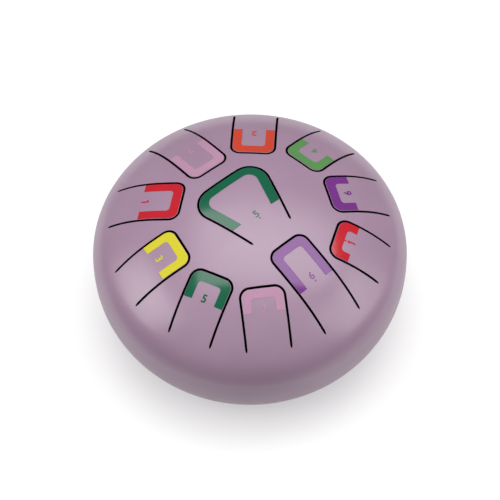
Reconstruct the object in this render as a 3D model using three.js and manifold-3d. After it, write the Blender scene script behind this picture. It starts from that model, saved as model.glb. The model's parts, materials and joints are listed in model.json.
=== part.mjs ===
// A small steel tongue drum: two pressed shells joined edge to edge, eleven tongues cut in the
// upper one, a coloured band and a numeral on each tongue, and four push-in rubber feet.
// Millimetres, +Z up. The origin is on the drum's axis, at the level that the feet stand on.
// Seen from above with -Y towards the player, azimuths run anticlockwise from +X.

import * as THREE from 'three';
import { mergeVertices } from 'three/addons/utils/BufferGeometryUtils.js';
import Module from 'manifold-3d';

// Body
const bodyRadius = 77.5;
const sheetThickness = 1.5;
const roundSegments = 64;

// Upper shell, outside: a shallow crown, a rounder flank and a tight shoulder, each meeting the
// next at the slope given here, then a straight wall down to the seam
const crownEdgeSlope = 20.8;
const flankRadius = 56.4;
const flankEdgeSlope = 46.3;
const shoulderRadius = 24.6;
const upperWallHeight = 2.2;

// Lower shell, outside: a straight wall, a wide bilge, a tighter heel and a flat base
const lowerWallHeight = 2.2;
const bilgeRadius = 47;
const bilgeEdgeSlope = 45;
const heelRadius = 20;

// Facets along each arc of the profile
const crownSteps = 4;
const flankSteps = 3;
const shoulderSteps = 4;
const bilgeSteps = 4;
const heelSteps = 3;

// Sound hole in the base
const soundHoleRadius = 15;

// Rubber feet: a head under the base, a stem through it and a barb above it
const footCircleRadius = 38;
const footHeadRadius = 6;
const footHeight = 4;
const footRounding = 1;
const footHoleRadius = 2.5;
const footStemClearance = 0.3;
const footBarbOverhang = 1;
const footBarbHeight = 2.2;
const footBarbTipRadius = 1.6;
const footBarbClearance = 0.3;
const footSegments = 12;

// Tongues: the slot is cut along a line, and the widths, radii and distances here are that line's.
// A tongue round the rim ends in a root that lies back from the body's edge.
const slotWidth = 0.9;
const rootGap = 0.3;
const tongueWidth = 21.6;
const tongueCornerRadius = 4.7;
const tongueRootSetback = 9;
const cornerSteps = 4;

// The tongue in the middle: a wide rounded head that narrows to its root
const centreTongueTip = 21.3;
const centreTongueRoot = 17.4;
const centreHeadCornerRadius = 9.8;
const centreHeadCornerSpacing = 19.6;
const centreTongueTaper = 16.3;
const centreCornerSteps = 7;

// Vinyl: bands along the tongue's edge, numerals and dots
const vinylThickness = 0.15;
const vinylClearance = 0.05;
const bandEdgeSetback = 0.1;
const bandTipWidth = 4.4;
const bandLegWidth = 4.2;
const bandInnerCornerRadius = 1.7;
const centreBandTipWidth = 4.3;
const centreBandLegWidth = 4.8;
const centreBandEnd = 5.4;
const centreNumeralMiddle = 5.3;
const numeralHeight = 3.6;
const numeralStroke = 0.6;
const dotRadius = 0.45;
const dotSpacing = 0.6;
const arcSteps = 6;

// Vinyl colours
const red = 0xcf2836;
const orange = 0xe1502c;
const yellow = 0xdcd23c;
const lightGreen = 0x5fa650;
const darkGreen = 0x1c6947;
const purple = 0x7d3291;
const pink = 0xcd96b9;

// Rim tongues: how far each tip lies from the drum's axis, which sets the tongue's length and its
// note, and how far from the tip the legs of its band end and the middle of its numeral lies
const mid1Tip = 33.3;
const mid1BandLength = 20.1;
const mid1NumeralDistance = 18.3;
const mid2Tip = 34.5;
const mid2BandLength = 18.4;
const mid2NumeralDistance = 14.9;
const mid3Tip = 36.8;
const mid3BandLength = 15.9;
const mid3NumeralDistance = 12.6;
const mid4Tip = 38.7;
const mid4BandLength = 14.2;
const mid4NumeralDistance = 11.6;
const mid5Tip = 38.6;
const mid5BandLength = 13.9;
const mid5NumeralDistance = 12.2;
const mid6Tip = 39.9;
const mid6BandLength = 12.3;
const mid6NumeralDistance = 9.9;
const mid7Tip = 41.9;
const mid7BandLength = 11.5;
const mid7NumeralDistance = 10.4;
const high1Tip = 42.8;
const high1BandLength = 9.7;
const high1NumeralDistance = 8.6;
const low6Tip = 25.9;
const low6BandLength = 23.3;
const low6NumeralDistance = 19.6;
const low7Tip = 30.4;
const low7BandLength = 20.7;
const low7NumeralDistance = 18.1;

// Each rim tongue's note and the direction of its axis
const rimTongues = [
  {
    octave: 'mid', digit: 1, azimuth: 168.2, colour: red,
    tip: mid1Tip, bandLength: mid1BandLength, numeralDistance: mid1NumeralDistance,
  },
  {
    octave: 'mid', digit: 2, azimuth: 86.4, colour: orange,
    tip: mid2Tip, bandLength: mid2BandLength, numeralDistance: mid2NumeralDistance,
  },
  {
    octave: 'mid', digit: 3, azimuth: 208.1, colour: yellow,
    tip: mid3Tip, bandLength: mid3BandLength, numeralDistance: mid3NumeralDistance,
  },
  {
    octave: 'mid', digit: 4, azimuth: 49.4, colour: lightGreen,
    tip: mid4Tip, bandLength: mid4BandLength, numeralDistance: mid4NumeralDistance,
  },
  {
    octave: 'mid', digit: 5, azimuth: 244.2, colour: darkGreen,
    tip: mid5Tip, bandLength: mid5BandLength, numeralDistance: mid5NumeralDistance,
  },
  {
    octave: 'mid', digit: 6, azimuth: 15.1, colour: purple,
    tip: mid6Tip, bandLength: mid6BandLength, numeralDistance: mid6NumeralDistance,
  },
  {
    octave: 'mid', digit: 7, azimuth: 277.0, colour: pink,
    tip: mid7Tip, bandLength: mid7BandLength, numeralDistance: mid7NumeralDistance,
  },
  {
    octave: 'high', digit: 1, azimuth: 342.1, colour: red,
    tip: high1Tip, bandLength: high1BandLength, numeralDistance: high1NumeralDistance,
  },
  {
    octave: 'low', digit: 6, azimuth: 309.8, colour: purple,
    tip: low6Tip, bandLength: low6BandLength, numeralDistance: low6NumeralDistance,
  },
  {
    octave: 'low', digit: 7, azimuth: 126.4, colour: pink,
    tip: low7Tip, bandLength: low7BandLength, numeralDistance: low7NumeralDistance,
  },
];
const centreTongue = { octave: 'low', digit: 5, azimuth: 308.3, colour: darkGreen };

// The dot of a low note lies on the root's side of its numeral, and that of a high note on the tip's
const dotSide = { low: 1, mid: 0, high: -1 };

// Finishes
const paint = { color: 0xbfa5ba, roughness: 0.38, metalness: 0.1 };
const vinylFinish = { roughness: 0.25, metalness: 0 };
const rubber = { color: 0x2b2a2c, roughness: 0.8, metalness: 0 };

// How far a cutting solid reaches past what it cuts
const cutMargin = 2;

const wasm = await Module();
wasm.setup();

const radians = THREE.MathUtils.degToRad;
const sine = (degrees) => Math.sin(radians(degrees));
const cosine = (degrees) => Math.cos(radians(degrees));

// Heights, from the ground up
const baseHeight = footHeight;
const heelRise = heelRadius * (1 - sine(bilgeEdgeSlope));
const bilgeRise = bilgeRadius * sine(bilgeEdgeSlope);
const seamHeight = baseHeight + heelRise + bilgeRise + lowerWallHeight;
const crownRadius = (bodyRadius - shoulderRadius * (1 - sine(flankEdgeSlope))
  - flankRadius * (sine(flankEdgeSlope) - sine(crownEdgeSlope))) / sine(crownEdgeSlope);
const crownTop = seamHeight + upperWallHeight + shoulderRadius * cosine(flankEdgeSlope)
  + flankRadius * (cosine(crownEdgeSlope) - cosine(flankEdgeSlope))
  + crownRadius * (1 - cosine(crownEdgeSlope));

// Points on one arc of a profile: the outward normal swings from one angle to another, measured
// up from the horizontal, and the arc is moved outwards along it by lift
function profileArc(centreR, centreZ, radius, fromNormal, toNormal, steps, lift) {
  const points = [];
  for (let i = 0; i <= steps; i += 1) {
    const normal = fromNormal + (toNormal - fromNormal) * i / steps;
    const reach = radius + lift;
    points.push(new THREE.Vector2(centreR + reach * cosine(normal), centreZ + reach * sine(normal)));
  }
  return points;
}

// Joins runs of points and drops a point that repeats the one before it
function joinRuns(...runs) {
  const joined = [];
  for (const point of runs.flat()) {
    const last = joined[joined.length - 1];
    if (!last || last.distanceTo(point) > 1e-6) {
      joined.push(point);
    }
  }
  return joined;
}

// The upper shell's profile from the crown to the seam, moved out by lift
function upperProfile(lift) {
  const crownCentre = crownTop - crownRadius;
  const flankCentreR = (crownRadius - flankRadius) * sine(crownEdgeSlope);
  const flankCentreZ = crownCentre + (crownRadius - flankRadius) * cosine(crownEdgeSlope);
  const shoulderCentreR = bodyRadius - shoulderRadius;
  const shoulderCentreZ = seamHeight + upperWallHeight;
  const crownEdge = 90 - crownEdgeSlope;
  const flankEdge = 90 - flankEdgeSlope;
  const crown = profileArc(0, crownCentre, crownRadius, 90, crownEdge, crownSteps, lift);
  crown[0].x = 0;
  return joinRuns(
    crown,
    profileArc(flankCentreR, flankCentreZ, flankRadius, crownEdge, flankEdge, flankSteps, lift),
    profileArc(shoulderCentreR, shoulderCentreZ, shoulderRadius, flankEdge, 0, shoulderSteps, lift),
    [new THREE.Vector2(bodyRadius + lift, seamHeight)],
  );
}

// The lower shell's profile from the seam to the edge of the sound hole, moved out by lift
function lowerProfile(lift) {
  const bilgeCentreZ = seamHeight - lowerWallHeight;
  const heelCentreR = bodyRadius - bilgeRadius + (bilgeRadius - heelRadius) * cosine(bilgeEdgeSlope);
  const heelCentreZ = baseHeight + heelRadius;
  return joinRuns(
    [new THREE.Vector2(bodyRadius + lift, seamHeight)],
    profileArc(bodyRadius - bilgeRadius, bilgeCentreZ, bilgeRadius, 0, -bilgeEdgeSlope, bilgeSteps, lift),
    profileArc(heelCentreR, heelCentreZ, heelRadius, -bilgeEdgeSlope, -90, heelSteps, lift),
    [new THREE.Vector2(soundHoleRadius, baseHeight - lift)],
  );
}

// A solid between two profiles, turned about the drum's axis
function turnBetween(outer, inner, segments) {
  const ring = joinRuns(outer, [...inner].reverse());
  ring.push(ring[0].clone());
  const lathe = new THREE.LatheGeometry(ring.reverse(), segments);
  lathe.rotateX(Math.PI / 2);
  return lathe;
}

// A closed geometry as a solid that can be cut and joined
function solidOf(geometry) {
  const plain = geometry.clone();
  plain.deleteAttribute('normal');
  plain.deleteAttribute('uv');
  const merged = mergeVertices(plain, 1e-4);
  const triangles = [];
  const index = merged.index.array;
  for (let i = 0; i < index.length; i += 3) {
    const [a, b, c] = [index[i], index[i + 1], index[i + 2]];
    if (a !== b && b !== c && c !== a) {
      triangles.push(a, b, c);
    }
  }
  const mesh = new wasm.Mesh({
    numProp: 3,
    vertProperties: new Float32Array(merged.attributes.position.array),
    triVerts: new Uint32Array(triangles),
  });
  return new wasm.Manifold(mesh);
}

// A solid's triangles as a geometry
function geometryOf(solid) {
  const mesh = solid.getMesh();
  const geometry = new THREE.BufferGeometry();
  geometry.setAttribute('position', new THREE.BufferAttribute(new Float32Array(mesh.vertProperties), 3));
  geometry.setIndex(new THREE.BufferAttribute(new Uint32Array(mesh.triVerts), 1));
  return geometry;
}

// A prism over a flat outline, tall enough to pass through the upper shell
function prismOf(outline) {
  const foot = seamHeight + upperWallHeight;
  const depth = crownTop + cutMargin - foot;
  const geometry = new THREE.ExtrudeGeometry(new THREE.Shape(outline), { depth, bevelEnabled: false });
  geometry.translate(0, 0, foot);
  return solidOf(geometry);
}

// A tongue's own axes: forward runs from its tip to its root, across runs to its left
function tonguePlace(azimuth) {
  const forward = new THREE.Vector2(cosine(azimuth), sine(azimuth));
  const across = new THREE.Vector2(-forward.y, forward.x);
  return (along, side) => new THREE.Vector2(
    forward.x * along + across.x * side,
    forward.y * along + across.y * side,
  );
}

// A run round a corner, from one direction to another, in a tongue's axes
function corner(centreAlong, centreSide, radius, from, to, steps) {
  const run = [];
  for (let i = 0; i <= steps; i += 1) {
    const angle = from + (to - from) * i / steps;
    run.push([centreAlong + radius * cosine(angle), centreSide + radius * sine(angle)]);
  }
  return run;
}

// Half of a straight tongue's outline, from the middle of the tip to the root, drawn in by inset
function straightHalf(tip, root, inset, sideInset = inset, radius = tongueCornerRadius - inset) {
  const halfWidth = tongueWidth / 2 - sideInset;
  const tipLine = tip + inset;
  return [
    ...corner(tipLine + radius, halfWidth - radius, radius, 180, 90, cornerSteps),
    [root, halfWidth],
  ];
}

// Half of the middle tongue's outline: its head's corner turns past square onto the tapering leg
function taperedHalf(root, inset, sideInset = inset) {
  const radius = centreHeadCornerRadius - sideInset;
  const centreAlong = -centreTongueTip + inset + radius;
  const centreSide = centreHeadCornerSpacing / 2;
  const legNormal = 90 - centreTongueTaper;
  const head = corner(centreAlong, centreSide, radius, 180, legNormal, centreCornerSteps);
  const [alongStart, sideStart] = head[head.length - 1];
  const side = sideStart - (root - alongStart) * Math.tan(radians(centreTongueTaper));
  return [...head, [root, side]];
}

// A whole outline from its half: the other half is its mirror image
function wholeOutline(half, place) {
  const mirrored = half.map(([along, side]) => [along, -side]).reverse();
  return [...mirrored, ...half].map(([along, side]) => place(along, side)).reverse();
}

// A U-shaped outline between an outer and an inner half outline
function bandOutline(outerHalf, innerHalf, place) {
  const outer = [...outerHalf.map(([along, side]) => [along, -side]).reverse(), ...outerHalf];
  const inner = [...innerHalf.map(([along, side]) => [along, -side]).reverse(), ...innerHalf];
  return [...outer, ...inner.reverse()].map(([along, side]) => place(along, side)).reverse();
}

// Points round a part of a circle or an ellipse, in a numeral's own units
function bow(x, y, radiusX, radiusY, from, to, steps = arcSteps) {
  const points = [];
  for (let i = 0; i <= steps; i += 1) {
    const angle = from + (to - from) * i / steps;
    points.push([x + radiusX * cosine(angle), y + radiusY * sine(angle)]);
  }
  return points;
}

// The numerals as pen strokes, one unit tall, x to the right and y up from the foot
const numeralStrokes = {
  1: [[[-0.2, 0.78], [0.06, 1], [0.06, 0]]],
  2: [[...bow(0, 0.72, 0.28, 0.28, 165, -35), [-0.28, 0], [0.3, 0]]],
  3: [bow(0, 0.75, 0.25, 0.25, 150, -90), bow(0, 0.26, 0.29, 0.26, 90, -150)],
  4: [[[0.12, 0], [0.12, 1], [-0.3, 0.28], [0.32, 0.28]]],
  5: [[[0.26, 1], [-0.18, 1], [-0.24, 0.52]], bow(0, 0.32, 0.3, 0.32, 140, -140)],
  6: [bow(0, 0.3, 0.28, 0.3, 0, 360, 8), bow(0.22, 0.3, 0.5, 0.7, 180, 95, 4)],
  7: [[[-0.28, 1], [0.28, 1], [-0.08, 0]]],
};

// One straight piece of a pen stroke, with square ends that reach half a stroke past its ends
function strokePiece([x1, y1], [x2, y2], place) {
  const length = Math.hypot(x2 - x1, y2 - y1);
  const half = numeralStroke / 2;
  const [ux, uy] = [(x2 - x1) / length * half, (y2 - y1) / length * half];
  const corners = [
    [x1 - ux + uy, y1 - uy - ux],
    [x2 + ux + uy, y2 + uy - ux],
    [x2 + ux - uy, y2 + uy + ux],
    [x1 - ux - uy, y1 - uy + ux],
  ];
  return prismOf(corners.map(([x, y]) => place(x, y)));
}

// A numeral as a tall solid; its head points to the tongue's tip
function numeralPrism(digit, middle, place) {
  const pen = (x, y) => place(middle - (y - numeralHeight / 2), x);
  const pieces = [];
  const tall = numeralHeight - numeralStroke;
  for (const stroke of numeralStrokes[digit]) {
    const points = stroke.map(([x, y]) => [x * tall, numeralStroke / 2 + y * tall]);
    for (let i = 1; i < points.length; i += 1) {
      pieces.push(strokePiece(points[i - 1], points[i], pen));
    }
  }
  return pieces.reduce((whole, piece) => whole.add(piece));
}

// A round dot as a tall solid
function dotPrism(along, place) {
  const points = bow(0, 0, dotRadius, dotRadius, 0, 315, 7).map(([x, y]) => place(along + x, y));
  return prismOf(points);
}

// The solids that the pieces are cut from
const dome = solidOf(turnBetween(upperProfile(0), upperProfile(-sheetThickness), roundSegments));
const vinylLow = upperProfile(vinylClearance);
const vinylHigh = upperProfile(vinylClearance + vinylThickness);
const vinylLayer = solidOf(turnBetween(vinylHigh, vinylLow, roundSegments));

const drum = new THREE.Group();

function addPiece(name, geometry, finish) {
  const mesh = new THREE.Mesh(geometry, new THREE.MeshStandardMaterial(finish));
  mesh.name = name;
  drum.add(mesh);
  return mesh;
}

// Everything that a tongue carries, and the opening that it moves in
function addTongue(tongue, place, halfOutline, band) {
  const edge = slotWidth / 2;
  const opening = prismOf(wholeOutline(halfOutline(tongue.root, -edge), place));
  const blank = prismOf(wholeOutline(halfOutline(tongue.root - rootGap, edge), place));
  const name = `${tongue.octave}_${tongue.digit}`;
  addPiece(`tongue_${name}`, geometryOf(dome.intersect(blank)), paint);

  const vinyl = { ...vinylFinish, color: tongue.colour };
  const bandSolid = vinylLayer.intersect(prismOf(bandOutline(band.outer, band.inner, place)));
  addPiece(`band_${name}`, geometryOf(bandSolid), vinyl);

  const numeral = vinylLayer.intersect(numeralPrism(tongue.digit, tongue.numeral, place));
  addPiece(`numeral_${name}`, geometryOf(numeral), vinyl);

  const side = dotSide[tongue.octave];
  if (side !== 0) {
    const reach = numeralHeight / 2 + dotSpacing + dotRadius;
    const dot = vinylLayer.intersect(dotPrism(tongue.numeral + side * reach, place));
    addPiece(`octave_dot_${name}`, geometryOf(dot), vinyl);
  }
  return opening;
}

const bandInset = slotWidth / 2 + bandEdgeSetback;
const openings = [];

for (const tongue of rimTongues) {
  const bandEnd = tongue.tip + tongue.bandLength;
  const outline = (root, inset) => straightHalf(tongue.tip, root, inset);
  const band = {
    outer: straightHalf(tongue.tip, bandEnd, bandInset),
    inner: straightHalf(tongue.tip, bandEnd, bandInset + bandTipWidth,
      bandInset + bandLegWidth, bandInnerCornerRadius),
  };
  const placed = {
    ...tongue,
    root: bodyRadius - tongueRootSetback,
    numeral: tongue.tip + tongue.numeralDistance,
  };
  openings.push(addTongue(placed, tonguePlace(tongue.azimuth), outline, band));
}

const centreBand = {
  outer: taperedHalf(centreBandEnd, bandInset),
  inner: taperedHalf(centreBandEnd, bandInset + centreBandTipWidth, bandInset + centreBandLegWidth),
};
const centrePlaced = { ...centreTongue, root: centreTongueRoot, numeral: centreNumeralMiddle };
openings.push(addTongue(centrePlaced, tonguePlace(centreTongue.azimuth), taperedHalf, centreBand));

const topShell = openings.reduce((shell, opening) => shell.subtract(opening), dome);
addPiece('top_shell', geometryOf(topShell), paint);

// The lower shell with its four holes, and a foot pushed into each
const feet = {
  foot_front_left: 225,
  foot_front_right: 315,
  foot_back_right: 45,
  foot_back_left: 135,
};

function footHole(azimuth) {
  const length = sheetThickness + 2 * cutMargin;
  const hole = new THREE.CylinderGeometry(footHoleRadius, footHoleRadius, length, footSegments);
  hole.rotateX(Math.PI / 2);
  hole.translate(footCircleRadius * cosine(azimuth), footCircleRadius * sine(azimuth),
    baseHeight + sheetThickness / 2);
  return solidOf(hole);
}

const lowerGeometry = turnBetween(lowerProfile(0), lowerProfile(-sheetThickness), roundSegments);
const bottomShell = Object.values(feet)
  .reduce((shell, azimuth) => shell.subtract(footHole(azimuth)), solidOf(lowerGeometry));
addPiece('bottom_shell', geometryOf(bottomShell), paint);

function footGeometry() {
  const stemRadius = footHoleRadius - footStemClearance;
  const barbRadius = footHoleRadius + footBarbOverhang;
  const barbFoot = footHeight + sheetThickness + footBarbClearance;
  const edgeCentre = footHeadRadius - footRounding;
  const edgeMiddle = footRounding * (1 - cosine(45));
  const outline = [
    [0, 0],
    [edgeCentre, 0],
    [footHeadRadius - edgeMiddle, edgeMiddle],
    [footHeadRadius, footRounding],
    [footHeadRadius, footHeight],
    [stemRadius, footHeight],
    [stemRadius, barbFoot],
    [barbRadius, barbFoot],
    [footBarbTipRadius, barbFoot + footBarbHeight],
    [0, barbFoot + footBarbHeight],
  ];
  const points = outline.map(([radius, height]) => new THREE.Vector2(radius, height));
  const lathe = new THREE.LatheGeometry(points, footSegments);
  lathe.rotateX(Math.PI / 2);
  return lathe;
}

for (const [name, azimuth] of Object.entries(feet)) {
  const foot = addPiece(name, geometryOf(solidOf(footGeometry())), rubber);
  foot.position.set(footCircleRadius * cosine(azimuth), footCircleRadius * sine(azimuth), 0);
}

export default drum;
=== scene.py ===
"""A small steel tongue drum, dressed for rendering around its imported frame.

Lengths are in metres and angles in radians. +Z is up along the drum's axis, the player sits on the -Y side,
and azimuths run anticlockwise from +X as seen from above.
"""
import json
import logging
import math
from collections.abc import Callable, Iterable
from dataclasses import dataclass, field
from enum import Enum

import bmesh
import bpy
from mathutils import Color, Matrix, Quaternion, Vector


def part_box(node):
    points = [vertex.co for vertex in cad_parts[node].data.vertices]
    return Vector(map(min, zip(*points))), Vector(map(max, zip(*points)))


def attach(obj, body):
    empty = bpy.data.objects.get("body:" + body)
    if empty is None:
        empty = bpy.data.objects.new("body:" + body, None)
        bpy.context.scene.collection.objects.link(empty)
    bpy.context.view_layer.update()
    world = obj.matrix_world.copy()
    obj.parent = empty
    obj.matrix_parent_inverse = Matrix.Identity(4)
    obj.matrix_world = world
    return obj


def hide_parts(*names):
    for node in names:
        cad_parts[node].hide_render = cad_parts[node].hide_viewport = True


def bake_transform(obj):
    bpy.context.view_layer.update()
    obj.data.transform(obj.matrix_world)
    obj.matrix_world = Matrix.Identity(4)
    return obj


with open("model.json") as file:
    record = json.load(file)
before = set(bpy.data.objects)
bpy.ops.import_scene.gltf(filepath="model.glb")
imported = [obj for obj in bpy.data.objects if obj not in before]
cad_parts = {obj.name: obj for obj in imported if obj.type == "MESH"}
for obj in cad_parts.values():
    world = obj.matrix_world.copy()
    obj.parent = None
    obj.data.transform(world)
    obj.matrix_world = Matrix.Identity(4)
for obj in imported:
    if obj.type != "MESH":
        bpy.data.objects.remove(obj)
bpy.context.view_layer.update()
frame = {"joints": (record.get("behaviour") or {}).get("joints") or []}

MM = 0.001
QUARTER = math.pi / 2
FULL_LEVEL = 255
FOOT_CIRCLE = 38 * MM
FOOT_NAMES = ("foot_back_right", "foot_back_left", "foot_front_left", "foot_front_right")
log = logging.getLogger("tongue_drum")

Surface = Callable[[float, float], tuple[Vector, Vector]]


class Octave(Enum):
    """The octave of a note, with the side of the numeral that its dot lies on: 1 towards the root."""

    LOW = ("low", 1)
    MID = ("mid", 0)
    HIGH = ("high", -1)


class Vinyl(Enum):
    """The vinyl films: the slot of each in the record and its colour as red, green and blue out of 255."""

    RED = ("vinyl_red", (213, 34, 50))
    ORANGE = ("vinyl_orange", (226, 75, 52))
    YELLOW = ("vinyl_yellow", (236, 224, 58))
    LIGHT_GREEN = ("vinyl_light_green", (100, 158, 90))
    DARK_GREEN = ("vinyl_dark_green", (16, 105, 74))
    PURPLE = ("vinyl_purple", (128, 54, 147))
    PINK = ("vinyl_pink", (204, 156, 185))


def linear(rgb: tuple[float, float, float]) -> tuple[float, float, float, float]:
    """Turns a colour out of 255 into linear light with full alpha.

    Args:
        rgb: the red, green and blue levels.

    Returns:
        Red, green, blue and alpha from 0 to 1.
    """
    shown = Color([level / FULL_LEVEL for level in rgb])
    return (*shown.from_srgb_to_scene_linear(), 1.0)


class Wire:
    """A number in a shader, which takes part in sums by adding Math nodes."""

    def __init__(self, shader: "Shader", socket: bpy.types.NodeSocket | None) -> None:
        """Wraps an output socket of a node in shader's tree."""
        self.shader = shader
        self.socket = socket

    def _sum(self, operation: str, first: "Wire | float", second: "Wire | float") -> "Wire":
        """Adds a Math node on two values."""
        return self.shader.node("ShaderNodeMath", {"operation": operation}, {0: first, 1: second})

    def __add__(self, other: "Wire | float") -> "Wire":
        """self + other."""
        return self._sum("ADD", self, other)

    __radd__ = __add__

    def __sub__(self, other: "Wire | float") -> "Wire":
        """self - other."""
        return self._sum("SUBTRACT", self, other)

    def __rsub__(self, other: "Wire | float") -> "Wire":
        """other - self."""
        return self._sum("SUBTRACT", other, self)

    def __mul__(self, other: "Wire | float") -> "Wire":
        """self * other."""
        return self._sum("MULTIPLY", self, other)

    __rmul__ = __mul__

    def most(self, other: "Wire | float") -> "Wire":
        """The greater of the two."""
        return self._sum("MAXIMUM", self, other)


class Shader:
    """A node tree under construction. The mix numbers are the Mix node's sockets when it mixes colours."""

    mix_share, mix_first, mix_second, mix_result = 0, 6, 7, 2

    def __init__(self, tree: bpy.types.NodeTree) -> None:
        """Empties the tree."""
        self.tree = tree
        tree.nodes.clear()

    def node(self, kind: str, settings: dict | None = None, sockets: dict | None = None,
             output: int | str = 0) -> Wire:
        """Adds a node.

        Args:
            kind: the node's type.
            settings: properties set first, by name.
            sockets: values or wires by the input's name or number.
            output: the output that the returned wire stands for.

        Returns:
            The chosen output.
        """
        made = self.tree.nodes.new(kind)
        for name, value in (settings or {}).items():
            setattr(made, name, value)
        for key, value in (sockets or {}).items():
            if isinstance(value, Wire):
                self.tree.links.new(value.socket, made.inputs[key])
            else:
                made.inputs[key].default_value = value
        return Wire(self, made.outputs[output] if made.outputs else None)

    def place(self) -> Wire:
        """The point on the piece, in metres in the drum's own frame."""
        return self.node("ShaderNodeTexCoord", output="Object")

    def distance(self, point: tuple[float, float, float]) -> Wire:
        """How far the shaded place lies from a point."""
        return self.node("ShaderNodeVectorMath", {"operation": "DISTANCE"},
                         {0: self.place(), 1: point}, "Value")

    def noise(self, size: float, detail: float) -> Wire:
        """Smooth noise from 0 to 1 whose patches are about size across."""
        return self.node("ShaderNodeTexNoise", None,
                         {"Vector": self.place(), "Scale": 1 / size, "Detail": detail}, "Fac")

    def ramp(self, value: Wire, start: float, end: float) -> Wire:
        """value's way from start to end, as a smooth 0 to 1."""
        return self.node("ShaderNodeMapRange", {"interpolation_type": "SMOOTHSTEP"},
                         {"Value": value, "From Min": start, "From Max": end})

    def colours(self, share: Wire, first: Wire | tuple, second: Wire | tuple) -> Wire:
        """The first colour where share is 0, the second where it is 1."""
        sockets = {self.mix_share: share, self.mix_first: first, self.mix_second: second}
        return self.node("ShaderNodeMix", {"data_type": "RGBA"}, sockets, self.mix_result)

    def bump(self, height: Wire, depth: float, below: Wire | None = None) -> Wire:
        """Adds a bump to the surface.

        Args:
            height: the surface's height, from 0 to 1.
            depth: how far a height of 1 stands proud.
            below: the normal that this one adds to, if any.

        Returns:
            The bumped normal.
        """
        sockets = {"Height": height, "Distance": depth, "Strength": 1.0}
        if below is not None:
            sockets["Normal"] = below
        return self.node("ShaderNodeBump", None, sockets)

    def output(self, kind: str, shader: Wire) -> None:
        """Ends the tree in an output node of this kind."""
        self.node(kind, None, {"Surface": shader})


def new_material(name: str) -> tuple[bpy.types.Material, Shader]:
    """Makes a material with an emptied node tree.

    Args:
        name: the material's name.

    Returns:
        The material and the shader that fills it.
    """
    material = bpy.data.materials.new(name)
    material.use_nodes = True
    return material, Shader(material.node_tree)


@dataclass(frozen=True)
class Lacquer:
    """Satin lilac lacquer on the pressed steel, whose laser-cut edges and inside are bare and dark."""

    name: str = "lilac_lacquer"
    colour: tuple[float, float, float] = (181, 149, 175)
    deep_colour: tuple[float, float, float] = (176, 143, 170)
    bare_colour: tuple[float, float, float] = (30, 22, 28)
    ior: float = 1.9
    roughness: float = 0.3
    roughness_swing: float = 0.05
    bare_roughness: float = 0.7
    cloud_size: float = 34 * MM
    cloud_band: tuple[float, float] = (0.3, 0.7)
    wave_size: float = 26 * MM
    wave_depth: float = 0.035 * MM
    peel_size: float = 1.1 * MM
    peel_depth: float = 0.0035 * MM
    grain_size: float = 0.28 * MM
    grain_depth: float = 0.0008 * MM

    def material(self) -> bpy.types.Material:
        """Mixes the lacquer, which leaves the faces marked bare dark.

        Returns:
            The material.
        """
        material, tree = new_material(self.name)
        bare = tree.node("ShaderNodeAttribute", {"attribute_name": "bare"}, None, "Fac")
        clouds = tree.noise(self.cloud_size, detail=3)
        peel = tree.noise(self.peel_size, detail=2)
        grain = tree.noise(self.grain_size, detail=1)
        shade = tree.ramp(clouds, *self.cloud_band)
        paint = tree.colours(shade, linear(self.colour), linear(self.deep_colour))
        colour = tree.colours(bare, paint, linear(self.bare_colour))
        satin = self.roughness + self.roughness_swing * (clouds + peel - 1.0)
        roughness = satin + bare * (self.bare_roughness - satin)
        waves = tree.bump(tree.noise(self.wave_size, detail=1), self.wave_depth)
        skin = tree.bump(peel, self.peel_depth, waves)
        fine = tree.bump(grain, self.grain_depth, skin)
        surface = tree.node("ShaderNodeBsdfPrincipled", None, {
            "Base Color": colour, "Metallic": bare, "Roughness": roughness, "IOR": self.ior,
            "Normal": fine})
        tree.output("ShaderNodeOutputMaterial", surface)
        return material


@dataclass(frozen=True)
class VinylFilm:
    """Glossy self-adhesive film of one colour, which follows the lacquer's skin under it."""

    vinyl: Vinyl
    ior: float = 1.8
    roughness: float = 0.09
    smear_roughness: float = 0.05
    smear_size: float = 5 * MM
    shade_size: float = 9 * MM
    shade_share: float = 0.06
    shade_step: float = 0.002
    ripple_size: float = 3.2 * MM
    ripple_depth: float = 0.004 * MM
    skin_size: float = 0.5 * MM
    skin_depth: float = 0.0006 * MM

    def material(self) -> bpy.types.Material:
        """Makes the film of its colour.

        Returns:
            The material.
        """
        slot, rgb = self.vinyl.value
        material, tree = new_material(f"{slot}_film")
        base = linear(rgb)
        darker = (*(part * (1 - self.shade_share) for part in base[:3]), 1.0)
        lighter = (*(min(part * (1 + self.shade_share) + self.shade_step, 1.0) for part in base[:3]), 1.0)
        colour = tree.colours(tree.noise(self.shade_size, detail=2), darker, lighter)
        roughness = self.roughness + self.smear_roughness * tree.noise(self.smear_size, detail=3)
        ripple = tree.bump(tree.noise(self.ripple_size, detail=1), self.ripple_depth)
        skin = tree.bump(tree.noise(self.skin_size, detail=1), self.skin_depth, ripple)
        surface = tree.node("ShaderNodeBsdfPrincipled", None, {
            "Base Color": colour, "Roughness": roughness, "IOR": self.ior, "Normal": skin})
        tree.output("ShaderNodeOutputMaterial", surface)
        return material


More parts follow.
